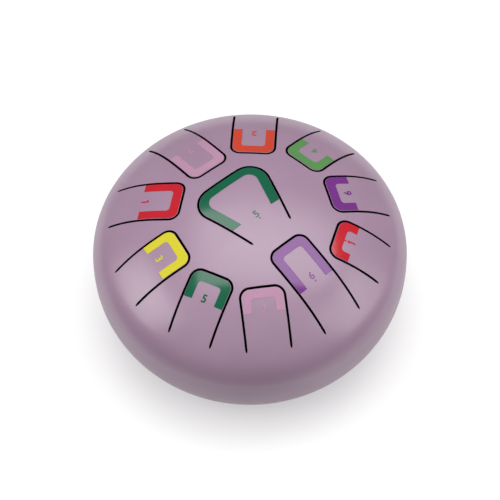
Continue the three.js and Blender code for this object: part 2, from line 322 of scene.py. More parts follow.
@dataclass(frozen=True)
class MouldedRubber:
    """Matt black rubber with a fine grain and a little bloom."""

    name: str = "moulded_rubber"
    colour: tuple[float, float, float] = (30, 29, 31)
    bloom_colour: tuple[float, float, float] = (52, 50, 54)
    bloom_size: float = 3 * MM
    bloom_band: tuple[float, float] = (0.45, 0.75)
    roughness: float = 0.68
    roughness_swing: float = 0.12
    grain_size: float = 0.35 * MM
    grain_depth: float = 0.02 * MM

    def material(self) -> bpy.types.Material:
        """Makes the rubber with its bloom.

        Returns:
            The material.
        """
        material, tree = new_material(self.name)
        bloom = tree.noise(self.bloom_size, detail=4)
        grain = tree.noise(self.grain_size, detail=2)
        shade = tree.ramp(bloom, *self.bloom_band)
        colour = tree.colours(shade, linear(self.colour), linear(self.bloom_colour))
        roughness = self.roughness + self.roughness_swing * grain
        surface = tree.node("ShaderNodeBsdfPrincipled", None, {
            "Base Color": colour, "Roughness": roughness, "Normal": tree.bump(grain, self.grain_depth)})
        tree.output("ShaderNodeOutputMaterial", surface)
        return material


@dataclass(frozen=True)
class BodyForm:
    """The outside of the pressed body: arcs that meet smoothly, turned about the drum's axis.

    A slope is the angle between the surface and the level, so it is 0 at the crown and a quarter turn at
    the widest place.
    """

    radius: float
    seam: float
    base: float
    sheet: float = 1.5 * MM
    crown_edge: float = math.radians(20.8)
    flank_radius: float = 56.4 * MM
    flank_edge: float = math.radians(46.3)
    shoulder_radius: float = 24.6 * MM
    wall: float = 2.2 * MM
    bilge_radius: float = 47 * MM
    bilge_edge: float = math.radians(45)
    heel_radius: float = 20 * MM

    @property
    def crown_radius(self) -> float:
        """The crown's radius, which closes the profile at the axis.

        Returns:
            The radius.
        """
        shoulder = self.shoulder_radius * (1 - math.sin(self.flank_edge))
        flank = self.flank_radius * (math.sin(self.flank_edge) - math.sin(self.crown_edge))
        return (self.radius - shoulder - flank) / math.sin(self.crown_edge)

    @property
    def base_radius(self) -> float:
        """How far the flat base reaches from the axis."""
        turn = (self.bilge_radius - self.heel_radius) * math.cos(self.bilge_edge)
        return self.radius - self.bilge_radius + turn

    def upper_arc(self, slope: float) -> tuple[float, float, float]:
        """The arc of the upper half that has this slope.

        Args:
            slope: the surface's slope.

        Returns:
            The centre's distance from the axis and its height, and the arc's radius.
        """
        shoulder = (self.radius - self.shoulder_radius, self.seam + self.wall, self.shoulder_radius)
        if slope >= self.flank_edge:
            return shoulder
        step = self.shoulder_radius - self.flank_radius
        flank = (shoulder[0] + step * math.sin(self.flank_edge),
                 shoulder[1] + step * math.cos(self.flank_edge), self.flank_radius)
        if slope >= self.crown_edge:
            return flank
        return (0.0, flank[1] + (self.flank_radius - self.crown_radius) * math.cos(self.crown_edge),
                self.crown_radius)

    def upper_slope(self, radius: float) -> float:
        """The upper half's slope at this distance from the axis.

        Args:
            radius: the distance from the axis.

        Returns:
            The slope, a quarter turn at most.
        """
        for start, end in ((0.0, self.crown_edge), (self.crown_edge, self.flank_edge)):
            centre, _, reach = self.upper_arc(start)
            found = math.asin(min((radius - centre) / reach, 1.0))
            if found <= end:
                return found
        centre, _, reach = self.upper_arc(self.flank_edge)
        return math.asin(min((radius - centre) / reach, 1.0))

    def upper_place(self, slope: float) -> tuple[float, float]:
        """Distance from the axis and height where the upper half has this slope."""
        centre, height, reach = self.upper_arc(slope)
        return centre + reach * math.sin(slope), height + reach * math.cos(slope)

    def lower_place(self, slope: float) -> tuple[float, float]:
        """The place on the lower half that has this slope.

        Args:
            slope: the surface's slope, 0 at the base.

        Returns:
            The distance from the axis and the height.
        """
        if slope <= self.bilge_edge:
            return (self.base_radius + self.heel_radius * math.sin(slope),
                    self.base + self.heel_radius * (1 - math.cos(slope)))
        return (self.radius - self.bilge_radius + self.bilge_radius * math.sin(slope),
                self.seam - self.wall - self.bilge_radius * math.cos(slope))

    def crown(self, x: float, y: float) -> tuple[Vector, Vector]:
        """The upper half over a place in the plan.

        Args:
            x: the place's x.
            y: the place's y.

        Returns:
            The point and the outward direction.
        """
        radius = math.hypot(x, y)
        slope = self.upper_slope(radius)
        tilt = math.sin(slope) / radius if radius > 0 else 0.0
        return Vector((x, y, self.upper_place(slope)[1])), Vector((x * tilt, y * tilt, math.cos(slope)))

    def underside(self, x: float, y: float) -> tuple[Vector, Vector]:
        """The point of the flat base under a place in the plan, and the outward direction there."""
        return Vector((x, y, self.base)), Vector((0, 0, -1))


@dataclass(frozen=True)
class Station:
    """A point on an outline in the plan, and the way from there to the cut edge that it rounds into."""

    x: float
    y: float
    edge_x: float = 0.0
    edge_y: float = 0.0


class Sheet:
    """A sheet that is drawn flat, rounded at its cut edges, laid over the body and given its thickness."""

    snap = 0.002 * MM
    end_snap = 0.0002 * MM
    rim_reach = 0.03 * MM
    shade_limit = 0.3
    vector_layers = ("to_edge", "outward", "shade")
    number_layers = ("drop", "tilt")

    def __init__(self, mesh: bmesh.types.BMesh | None = None) -> None:
        """Sees to it that the mesh has the layers.

        Args:
            mesh: a flat mesh, or None for an empty one.
        """
        self.mesh = mesh or bmesh.new()
        verts, faces = self.mesh.verts.layers, self.mesh.faces.layers
        wanted = ((verts.float_vector, self.vector_layers), (verts.float, self.number_layers),
                  (verts.int, ("inner",)), (faces.int, ("owner",)))
        for layers, names in wanted:
            for name in names:
                if layers.get(name) is None:
                    layers.new(name)
        self.to_edge, self.outward, self.shade = (verts.float_vector[name] for name in self.vector_layers)
        self.drop, self.tilt = (verts.float[name] for name in self.number_layers)
        self.inner, self.owner = verts.int["inner"], faces.int["owner"]

    def outline(self, stations: Iterable[Station]) -> None:
        """Adds a closed outline.

        Args:
            stations: its points, in order round it.
        """
        made = []
        for station in stations:
            vert = self.mesh.verts.new((station.x, station.y, 0))
            vert[self.to_edge] = (station.edge_x, station.edge_y, 0)
            made.append(vert)
        for first, second in zip(made, made[1:] + made[:1]):
            self.mesh.edges.new((first, second))

    def circle(self, radius: float, segments: int, x: float = 0.0, y: float = 0.0,
               edge: float = 0.0) -> None:
        """Adds a round outline.

        Args:
            radius: the finished edge's radius.
            segments: how many straight lines it has.
            x: the centre's x.
            y: the centre's y.
            edge: the radius of the rounding into a hole there, or 0 for none.
        """
        stations = []
        for i in range(segments):
            turn = 2 * math.pi * i / segments
            along, across = math.cos(turn), math.sin(turn)
            reach = radius + edge
            stations.append(Station(x + reach * along, y + reach * across, -edge * along, -edge * across))
        self.outline(stations)

    def fill(self) -> None:
        """Fills the area between the outlines."""
        bmesh.ops.triangle_fill(self.mesh, use_beauty=True, edges=self.mesh.edges[:], normal=(0, 0, 1))

    def bisect(self, point: Vector, normal: Vector, faces: list[bmesh.types.BMFace] | None = None) -> None:
        """Cuts faces along a line.

        Args:
            point: a point on the line.
            normal: the direction square to the line.
            faces: the faces to cut, or None for all.
        """
        chosen = self.mesh.faces[:] if faces is None else faces
        edges = {edge for face in chosen for edge in face.edges}
        verts = {vert for face in chosen for vert in face.verts}
        bmesh.ops.bisect_plane(self.mesh, geom=[*verts, *edges, *chosen], dist=self.snap, plane_co=point,
                               plane_no=normal)

    def grid(self, cell: float) -> None:
        """Cuts the flat sheet into cells, so that it can bend.

        Args:
            cell: the cells' width.
        """
        for axis in (0, 1):
            places = [vert.co[axis] for vert in self.mesh.verts]
            normal = Vector((1 - axis, axis, 0))
            for k in range(math.ceil(min(places) / cell), math.floor(max(places) / cell) + 1):
                self.bisect(normal * (k * cell), normal)

    def settle(self) -> None:
        """Lets only the points on an outline know of an edge, after the cuts have made new ones between."""
        for vert in self.mesh.verts:
            if not vert.is_boundary:
                vert[self.to_edge] = (0, 0, 0)

    def part(self, owner: int) -> "Sheet":
        """Copies the faces of one owner.

        Args:
            owner: the owner's number.

        Returns:
            The copy.
        """
        copy = Sheet(self.mesh.copy())
        away = [face for face in copy.mesh.faces if face[copy.owner] != owner]
        bmesh.ops.delete(copy.mesh, geom=away, context="FACES")
        return copy

    def round_edges(self, steps: int) -> None:
        """Turns the outlines that have an edge down into it, as a quarter round.

        Args:
            steps: how many bands of faces the round has.
        """
        edges = [edge for edge in self.mesh.edges
                 if edge.is_boundary and max(vert[self.to_edge].length for vert in edge.verts) > 0]
        for step in range(1, steps + 1):
            before, turn = QUARTER * (step - 1) / steps, QUARTER * step / steps
            made = bmesh.ops.extrude_edge_only(self.mesh, edges=edges)["geom"]
            verts = {item for item in made if isinstance(item, bmesh.types.BMVert)}
            for vert in verts:
                way = vert[self.to_edge]
                vert.co += way * (math.sin(turn) - math.sin(before))
                vert[self.drop] = way.length * (1 - math.cos(turn))
                vert[self.tilt] = turn
            edges = [item for item in made
                     if isinstance(item, bmesh.types.BMEdge) and verts.issuperset(item.verts)]
        ends = [vert for vert in self.mesh.verts if vert.is_boundary and vert[self.to_edge].length == 0]
        bmesh.ops.remove_doubles(self.mesh, verts=ends, dist=self.end_snap)

    def lay(self, surface: Surface, lift: float = 0.0) -> None:
        """Lays the flat sheet on a surface.

        Args:
            surface: gives the point and the outward direction over a place in the plan.
            lift: how far the sheet's outside lies off the surface.
        """
        for vert in self.mesh.verts:
            point, outward = surface(vert.co.x, vert.co.y)
            way = vert[self.to_edge].copy()
            tilt = vert[self.tilt] if way.length > 0 else 0.0
            drop = vert[self.drop] if way.length > 0 else 0.0
            vert.co = point + outward * (lift - drop)
            vert[self.outward] = outward
            vert[self.drop] = drop
            shade = outward * math.cos(tilt)
            if tilt > 0:
                way -= outward * way.dot(outward)
                shade += way.normalized() * math.sin(tilt)
            vert[self.shade] = shade

    def add_rim(self, radius: float, rings: list[tuple[float, float, float, int]]) -> None:
        """Extrudes the round outline at radius through rings.

        Args:
            radius: the outline's distance from the axis.
            rings: distance from the axis, height, the slope's angle, and 1 on the upper half or -1 below.
        """
        inside = radius - self.rim_reach
        edges = [edge for edge in self.mesh.edges
                 if edge.is_boundary and all(vert.co.xy.length > inside for vert in edge.verts)]
        for reach, height, slope, side in rings:
            made = bmesh.ops.extrude_edge_only(self.mesh, edges=edges)["geom"]
            for item in made:
                if isinstance(item, bmesh.types.BMVert):
                    around = Vector((item.co.x, item.co.y, 0)).normalized()
                    item.co = around * reach + Vector((0, 0, height))
                    outward = around * math.sin(slope) + Vector((0, 0, side * math.cos(slope)))
                    item[self.outward] = item[self.shade] = outward
            edges = [item for item in made if isinstance(item, bmesh.types.BMEdge) and item.is_boundary]

    def close(self, thickness: float) -> None:
        """Gives the laid sheet its thickness, inwards, and closes it.

        Args:
            thickness: the sheet's thickness.
        """
        made = bmesh.ops.extrude_face_region(self.mesh, geom=self.mesh.faces[:], use_keep_orig=True)["geom"]
        for item in made:
            if isinstance(item, bmesh.types.BMVert):
                outward = item[self.outward]
                item.co += outward * (item[self.drop] - thickness)
                item[self.inner] = 1
        bmesh.ops.recalc_face_normals(self.mesh, faces=self.mesh.faces[:])

    def piece(self, name: str, material: bpy.types.Material) -> bpy.types.Object:
        """Finishes the sheet, shaded by the body's own form outside and with its other faces marked bare.

        Args:
            name: the object's name.
            material: its finish.

        Returns:
            The object.
        """
        normals, bare = [], []
        for face in self.mesh.faces:
            face.smooth = True
            sides = {vert[self.inner] for vert in face.verts}
            bare.append(0.0 if sides == {0} else 1.0)
            for loop in face.loops:
                shade = loop.vert[self.shade].copy()
                if sides == {1}:
                    shade = -loop.vert[self.outward]
                usable = len(sides) == 1 and shade.dot(face.normal) > self.shade_limit
                normals.append(shade if usable else face.normal.copy())
        mesh = bpy.data.meshes.new(name)
        self.mesh.to_mesh(mesh)
        self.mesh.free()
        for layer in (*self.vector_layers, *self.number_layers, "inner", "owner"):
            mesh.attributes.remove(mesh.attributes[layer])
        attribute = mesh.attributes.new("bare", "FLOAT", "FACE")
        attribute.data.foreach_set("value", bare)
        mesh.normals_split_custom_set(normals)
        return show(name, mesh, material)


def show(name: str, mesh: bpy.types.Mesh, material: bpy.types.Material) -> bpy.types.Object:
    """Puts a mesh into the scene with its material.

    Args:
        name: the object's name.
        mesh: its mesh.
        material: its finish.

    Returns:
        The object.
    """
    piece = bpy.data.objects.new(name, mesh)
    mesh.materials.clear()
    mesh.materials.append(material)
    bpy.context.scene.collection.objects.link(piece)
    return piece


@dataclass(frozen=True)
class SlotCut:
    """The laser's slot round a tongue.

    It narrows to a point at its two ends: narrowing holds distances from the end, each with the share of
    the full width there.
    """

    width: float = 1.14 * MM
    lip: float = 0.13 * MM
    narrowing: tuple[tuple[float, float], ...] = (
        (1.3 * MM, 1.0), (0.8 * MM, 0.84), (0.35 * MM, 0.6), (0.12 * MM, 0.4))


@dataclass(frozen=True)
class Tongue:
    """A tongue, in its own axes: along runs from the drum's axis to its root, side to the left of that."""

    octave: Octave
    digit: int
    vinyl: Vinyl
    tip: float
    band_length: float
    numeral_distance: float
    root: float = 68.5 * MM
    half_width: float = 10.8 * MM
    corner_radius: float = 4.7 * MM
    taper: float = 0.0
    band_tip: float = 4.4 * MM
    band_leg: float = 4.2 * MM
    band_corner: float = 1.7 * MM
    corner_steps: int = 9

    @property
    def name(self) -> str:
        """The note's name, as the nodes carry it."""
        return f"{self.octave.value[0]}_{self.digit}"

    @property
    def azimuth(self) -> float:
        """The direction of the tongue's axis, square to its hinge."""
        joint = next(item for item in frame["joints"] if item["child"] == f"tongue_{self.name}")
        return math.atan2(joint["axis"][0], -joint["axis"][1])

    def place(self, along: float, side: float) -> Vector:
        """Turns a place or a direction from the tongue's own axes into the plan.

        Args:
            along: its measure along the tongue.
            side: its measure to the left.

        Returns:
            The place or direction.
        """
        turn = self.azimuth
        return Vector((along * math.cos(turn) - side * math.sin(turn),
                       along * math.sin(turn) + side * math.cos(turn), 0))

    def local(self, point: Vector) -> tuple[float, float]:
        """Turns a point of the plan into the tongue's own axes.

        Args:
            point: the point.

        Returns:
            Its along and side.
        """
        turn = self.azimuth
        return (point.x * math.cos(turn) + point.y * math.sin(turn),
                point.y * math.cos(turn) - point.x * math.sin(turn))

    def half(self, tip_inset: float, leg_inset: float, end: float,
             radius: float | None = None) -> list[tuple[float, float, float]]:
        """Half of an outline that follows the tongue's, from the tip's corner to the leg's end.

        Args:
            tip_inset: how far it is drawn in at the tip.
            leg_inset: how far it is drawn in along the leg.
            end: where along the tongue the leg ends.
            radius: the corner's radius, or the tongue's own less leg_inset.

        Returns:
            Along, side and the angle that the outline faces, at each point.
        """
        bend = self.corner_radius - leg_inset if radius is None else radius
        centre_along = self.tip + tip_inset + bend
        centre_side = self.half_width - leg_inset - bend
        last = QUARTER - self.taper
        points = []
        for i in range(self.corner_steps + 1):
            facing = math.pi + (last - math.pi) * i / self.corner_steps
            points.append((centre_along + bend * math.cos(facing),
                           centre_side + bend * math.sin(facing), facing))
        along, side, _ = points[-1]
        points.append((end, side - (end - along) * math.tan(self.taper), last))
        return points

    def slot_outline(self, cut: SlotCut) -> list[Station]:
        """The closed outline of the slot, drawn back by the lip that rounds into it.

        Args:
            cut: the slot's sizes.

        Returns:
            The stations round it.
        """
        line = self.half(0.0, 0.0, self.root)
        end_along, end_side, facing = line.pop()
        stops = [(along, side, turn, 1.0) for along, side, turn in line]
        for distance, share in cut.narrowing:
            along = end_along - distance * math.cos(self.taper)
            stops.append((along, end_side + distance * math.sin(self.taper), facing, share))
        outer = [self._lip(stop, cut, 1) for stop in stops]
        inner = [self._lip(stop, cut, -1) for stop in stops]
        end = (end_along, end_side, 0.0, 0.0)
        run = [*outer, end, *reversed(inner)]
        mirrored = [(along, -side, edge_along, -edge_side)
                    for along, side, edge_along, edge_side in reversed(run)]
        return [self._station(*stop) for stop in [*run, *mirrored]]

    @staticmethod
    def _lip(stop: tuple[float, float, float, float], cut: SlotCut,
             way: int) -> tuple[float, float, float, float]:
        """A point on one side of the slot.

        Args:
            stop: along and side of the slot's middle line, the angle it faces and its share of the width.
            cut: the slot's sizes.
            way: 1 for the outer side, -1 for the inner.

        Returns:
            Along and side of the point, then of its way to the cut edge.
        """
        along, side, facing, share = stop
        reach = way * share * (cut.width / 2 + cut.lip)
        edge = -way * share * cut.lip
        return (along + reach * math.cos(facing), side + reach * math.sin(facing),
                edge * math.cos(facing), edge * math.sin(facing))

    def _station(self, along: float, side: float, edge_along: float = 0.0,
                 edge_side: float = 0.0) -> Station:
        """A station of the plan from the tongue's own axes."""
        point, edge = self.place(along, side), self.place(edge_along, edge_side)
        return Station(point.x, point.y, edge.x, edge.y)

    def band_outline(self, cut: SlotCut, setback: float) -> list[Station]:
        """The closed outline of the vinyl band, a U along the tongue's edge.

        Args:
            cut: the slot's sizes.
            setback: how far the band stays off the slot.

        Returns:
            The stations round it.
        """
        inset = cut.width / 2 + setback
        end = self.tip + self.band_length
        outer = self.half(inset, inset, end)
        inner = self.half(inset + self.band_tip, inset + self.band_leg, end, self.band_corner)
        run = [*reversed(inner), *((along, -side, 0) for along, side, _ in inner),
               *((along, -side, 0) for along, side, _ in reversed(outer)), *outer]
        return [self._station(along, side) for along, side, _ in run]

    def reach(self, along: float) -> float:
        """How far the tongue's outline lies to each side.

        Args:
            along: a place between its tip and its root.

        Returns:
            The distance from its middle line to its outline.
        """
        line = self.half(0.0, 0.0, self.root)
        for (start, near, _), (end, far, _) in zip(line, line[1:]):
            if start <= along <= end:
                return near + (far - near) * (along - start) / (end - start)
        return 0.0

    def holds(self, point: Vector) -> bool:
        """Whether a point of the plan lies within the tongue's outline and short of its root."""
        along, side = self.local(point)
        return self.tip < along < self.root and abs(side) < self.reach(along)


@dataclass(frozen=True)
class TongueLayout:
    """The eleven tongues, from the measures of each."""

    cut: SlotCut = field(default_factory=SlotCut)

    @staticmethod
    def tongues() -> list[Tongue]:
        """Lays out the tongues.

        A row of the rim's ends in the tip's distance from the axis, the band's length and the distance of
        the numeral from the tip.

        Returns:
            The tongues, the centre one first.
        """
        low, mid, high = Octave.LOW, Octave.MID, Octave.HIGH
        rim = [
            (mid, 1, Vinyl.RED, 33.3, 20.1, 18.3),
            (mid, 2, Vinyl.ORANGE, 34.5, 18.4, 14.9),
            (mid, 3, Vinyl.YELLOW, 36.8, 15.9, 12.6),
            (mid, 4, Vinyl.LIGHT_GREEN, 38.7, 14.2, 11.6),
            (mid, 5, Vinyl.DARK_GREEN, 38.6, 13.9, 12.2),
            (mid, 6, Vinyl.PURPLE, 39.9, 12.3, 9.9),
            (mid, 7, Vinyl.PINK, 41.9, 11.5, 10.4),
            (high, 1, Vinyl.RED, 42.8, 9.7, 8.6),
            (low, 6, Vinyl.PURPLE, 25.9, 23.3, 19.6),
            (low, 7, Vinyl.PINK, 30.4, 20.7, 18.1),
        ]
        centre = Tongue(low, 5, Vinyl.DARK_GREEN, tip=-21.3 * MM, band_length=26.7 * MM,
                        numeral_distance=26.6 * MM, root=17.4 * MM, half_width=19.6 * MM,
                        corner_radius=9.8 * MM, taper=math.radians(16.3), band_tip=4.3 * MM,
                        band_leg=4.8 * MM, band_corner=4.45 * MM, corner_steps=18)
        return [centre, *(Tongue(octave, digit, vinyl, tip * MM, band * MM, numeral * MM)
                          for octave, digit, vinyl, tip, band, numeral in rim)]


@dataclass
class Shells:
    """The two pressed shells and the tongues cut in the upper one."""

    form: BodyForm
    tongues: list[Tongue]
    cut: SlotCut
    lacquer: bpy.types.Material
    round_segments: int = 256
    plan_radius: float = 71.6 * MM
    cell: float = 2.6 * MM
    base_cell: float = 10.4 * MM
    lip_steps: int = 2
    shoulder_rings: int = 10
    bilge_rings: int = 9
    heel_rings: int = 7
    hole_radius: float = 15 * MM
    hole_segments: int = 96
    hole_lip: float = 0.35 * MM
    hole_lip_steps: int = 3
    foot_hole_radius: float = 2.5 * MM
    foot_hole_segments: int = 32
    foot_hole_lip: float = 0.15 * MM
    bend_length: float = 9 * MM
    root_margin: float = 3 * MM

    def build(self) -> None:
        """Builds the upper shell, the tongues and the lower shell."""
        plan = self._crown_plan()
        self._finish_upper(plan.part(0))
        for number, tongue in enumerate(self.tongues, 1):
            self._finish_tongue(tongue, plan.part(number))
        plan.mesh.free()
        self._lower_shell()

    def _crown_plan(self) -> Sheet:
        """Draws the flat plan of the crown with its slots and marks the owner of each face.

        Returns:
            The plan, where owner 0 is the shell itself.
        """
        plan = Sheet()
        plan.circle(self.plan_radius, self.round_segments)
        for tongue in self.tongues:
            plan.outline(tongue.slot_outline(self.cut))
        plan.fill()
        plan.grid(self.cell)
        for tongue in self.tongues:
            end_side = abs(tongue.half(0.0, 0.0, tongue.root)[-1][1])
            near = []
            for face in plan.mesh.faces:
                along, side = tongue.local(face.calc_center_median())
                if abs(along - tongue.root) < self.root_margin and abs(side) < end_side + self.cut.width:
                    near.append(face)
            plan.bisect(tongue.place(tongue.root, 0), tongue.place(1, 0), near)
        plan.settle()
        for face in plan.mesh.faces:
            centre = face.calc_center_median()
            for number, tongue in enumerate(self.tongues, 1):
                if tongue.holds(centre):
                    face[plan.owner] = number
        return plan

    def _finish_upper(self, sheet: Sheet) -> None:
        """Makes the upper shell, down over the shoulder to the seam.

        Args:
            sheet: its part of the plan.
        """
        sheet.round_edges(self.lip_steps)
        sheet.lay(self.form.crown)
        first = self.form.upper_slope(self.plan_radius)
        rings = []
        for i in range(1, self.shoulder_rings + 1):
            slope = first + (QUARTER - first) * i / self.shoulder_rings
            rings.append((*self.form.upper_place(slope), slope, 1))
        rings.append((self.form.radius, self.form.seam, QUARTER, 1))
        sheet.add_rim(self.plan_radius, rings)
        sheet.close(self.form.sheet)
        piece = sheet.piece("upper_shell_skin", self.lacquer)
        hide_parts("top_shell")
        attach(piece, "body")
        log.info("upper shell: %d faces", len(piece.data.polygons))

    def _finish_tongue(self, tongue: Tongue, sheet: Sheet) -> None:
        """Makes one tongue.

        Args:
            tongue: the tongue.
            sheet: its part of the plan.
        """
        sheet.round_edges(self.lip_steps)
        sheet.lay(self.form.crown)
        sheet.close(self.form.sheet)
        piece = sheet.piece(f"tongue_{tongue.name}_skin", self.lacquer)
        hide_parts(f"tongue_{tongue.name}")
        start = self.form.crown(*tongue.place(tongue.root, 0).xy)[0]
        end = self.form.crown(*tongue.place(tongue.root - self.bend_length, 0).xy)[0]
        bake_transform(piece)
        log.info("tongue %s: %d faces", tongue.name, len(piece.data.polygons))

    def _lower_shell(self) -> None:
        """The lower shell with its sound hole and the feet's holes."""
        sheet = Sheet()
        radius = self.form.base_radius
        sheet.circle(radius, self.round_segments)
        sheet.circle(self.hole_radius, self.hole_segments, edge=self.hole_lip)
        for x, y in foot_places():
            sheet.circle(self.foot_hole_radius, self.foot_hole_segments, x, y, self.foot_hole_lip)
        sheet.fill()
        sheet.grid(self.base_cell)
        sheet.settle()
        sheet.round_edges(self.hole_lip_steps)
        sheet.lay(self.form.underside)
        rings = []
        for first, last, count in ((0.0, self.form.bilge_edge, self.heel_rings),
                                   (self.form.bilge_edge, QUARTER, self.bilge_rings)):
            for i in range(1, count + 1):
                slope = first + (last - first) * i / count
                rings.append((*self.form.lower_place(slope), slope, -1))
        rings.append((self.form.radius, self.form.seam, QUARTER, -1))
        sheet.add_rim(radius, rings)
        sheet.close(self.form.sheet)
        piece = sheet.piece("lower_shell_skin", self.lacquer)
        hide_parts("bottom_shell")
        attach(piece, "body")
        log.info("lower shell: %d faces", len(piece.data.polygons))


def foot_places() -> list[tuple[float, float]]:
    """Where the four feet stand, in the order of FOOT_NAMES."""
    turns = [QUARTER * (quarter + 0.5) for quarter in range(len(FOOT_NAMES))]
    return [(FOOT_CIRCLE * math.cos(turn), FOOT_CIRCLE * math.sin(turn)) for turn in turns]


@dataclass
class VinylTrim:
    """The vinyl bands, numerals and dots on the tongues."""

    form: BodyForm
    tongues: list[Tongue]
    cut: SlotCut
    films: dict[Vinyl, bpy.types.Material]
    setback: float = 0.16 * MM
    lift: float = 0.13 * MM
    thickness: float = 0.11 * MM
    cell: float = 1.3 * MM
    numeral_height: float = 3.85 * MM
    numeral_weight: float = 0.02
    one_outline: tuple[tuple[float, float], ...] = (
        (-0.02, 0.0), (0.16, 0.0), (0.16, 1.0), (0.02, 1.0), (-0.22, 0.84), (-0.22, 0.66), (-0.02, 0.78))
    dot_radius: float = 0.45 * MM
    dot_spacing: float = 0.6 * MM
    dot_segments: int = 24
    glyph_snap: float = 1e-5
    glyph_turn: float = 1e-6
    glyph_steps: int = 6

    def build(self) -> None:
        """Builds every band, numeral and dot."""
        for tongue in self.tongues:
            self._band(tongue)
            self._numeral(tongue)
            if tongue.octave.value[1]:
                self._dot(tongue)

    def _finish(self, sheet: Sheet, tongue: Tongue, node: str) -> None:
        """Lays a flat piece of film on its tongue and gives it its thickness.

        Args:
            sheet: the flat piece.
            tongue: its tongue.
            node: the node that it dresses.
        """
        sheet.grid(self.cell)
        sheet.settle()
        sheet.lay(self.form.crown, self.lift)
        sheet.close(self.thickness)
        piece = sheet.piece(f"{node}_film", self.films[tongue.vinyl])
        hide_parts(node)
        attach(piece, f"tongue_{tongue.name}")
        log.info("%s: %d faces", node, len(piece.data.polygons))

    def _band(self, tongue: Tongue) -> None:
        """Makes the band along the tongue's edge.

        Args:
            tongue: its tongue.
        """
        sheet = Sheet()
        sheet.outline(tongue.band_outline(self.cut, self.setback))
        sheet.fill()
        self._finish(sheet, tongue, f"band_{tongue.name}")

    def _numeral(self, tongue: Tongue) -> None:
        """Makes the numeral, whose head points to the tongue's tip.

        Args:
            tongue: its tongue.
        """
        sheet = self._glyph(tongue.digit)
        verts = sheet.mesh.verts
        low = Vector([min(vert.co[axis] for vert in verts) for axis in range(3)])
        high = Vector([max(vert.co[axis] for vert in verts) for axis in range(3)])
        scale = self.numeral_height / (high.y - low.y)
        middle = (low + high) / 2
        for vert in verts:
            right, up = (vert.co - middle).xy * scale
            vert.co = tongue.place(tongue.tip + tongue.numeral_distance - up, right)
        self._finish(sheet, tongue, f"numeral_{tongue.name}")

    def _glyph(self, digit: int) -> Sheet:
        """Draws the flat shape of a digit.

        Args:
            digit: the digit; a 1 has its own outline with a flag, any other comes from the font.

        Returns:
            The shape, filled and in units of its own.
        """
        sheet = Sheet()
        loops = [self.one_outline] if digit == 1 else self._font_outlines(digit)
        for loop in loops:
            sheet.outline(Station(x, y) for x, y in loop)
        sheet.fill()
        return sheet

    def _font_outlines(self, digit: int) -> list[list[tuple[float, float]]]:
        """Reads the closed outlines of a digit of the font, without points that lie on a straight line.

        Args:
            digit: the digit.

        Returns:
            The points round each outline.
        """
        text = bpy.data.curves.new("numeral", "FONT")
        text.body = str(digit)
        text.offset = self.numeral_weight
        text.resolution_u = self.glyph_steps
        writer = bpy.data.objects.new(text.name, text)
        flat = bpy.data.meshes.new_from_object(writer)
        mesh = bmesh.new()
        mesh.from_mesh(flat)
        bmesh.ops.remove_doubles(mesh, verts=mesh.verts[:], dist=self.glyph_snap)
        bpy.data.objects.remove(writer)
        bpy.data.curves.remove(text)
        bpy.data.meshes.remove(flat)
        rim = [edge for edge in mesh.edges if edge.is_boundary]
        outlines = []
        while rim:
            start, vert = rim.pop().verts
            loop = [start.co.xy]
            while vert is not start:
                loop.append(vert.co.xy)
                edge = next(other for other in vert.link_edges if other in rim)
                rim.remove(edge)
                vert = edge.other_vert(vert)
            around = zip(loop[-1:] + loop[:-1], loop, loop[1:] + loop[:1])
            outlines.append([tuple(point) for before, point, after in around
                             if abs((point - before).cross(after - point)) > self.glyph_turn])
        mesh.free()
        return outlines

    def _dot(self, tongue: Tongue) -> None:
        """Makes the dot that marks a low or a high note.

        Args:
            tongue: its tongue.
        """
        reach = self.numeral_height / 2 + self.dot_spacing + self.dot_radius
        along = tongue.tip + tongue.numeral_distance + tongue.octave.value[1] * reach
        centre = tongue.place(along, 0)
        sheet = Sheet()
        sheet.circle(self.dot_radius, self.dot_segments, centre.x, centre.y)
        sheet.fill()
        self._finish(sheet, tongue, f"octave_dot_{tongue.name}")


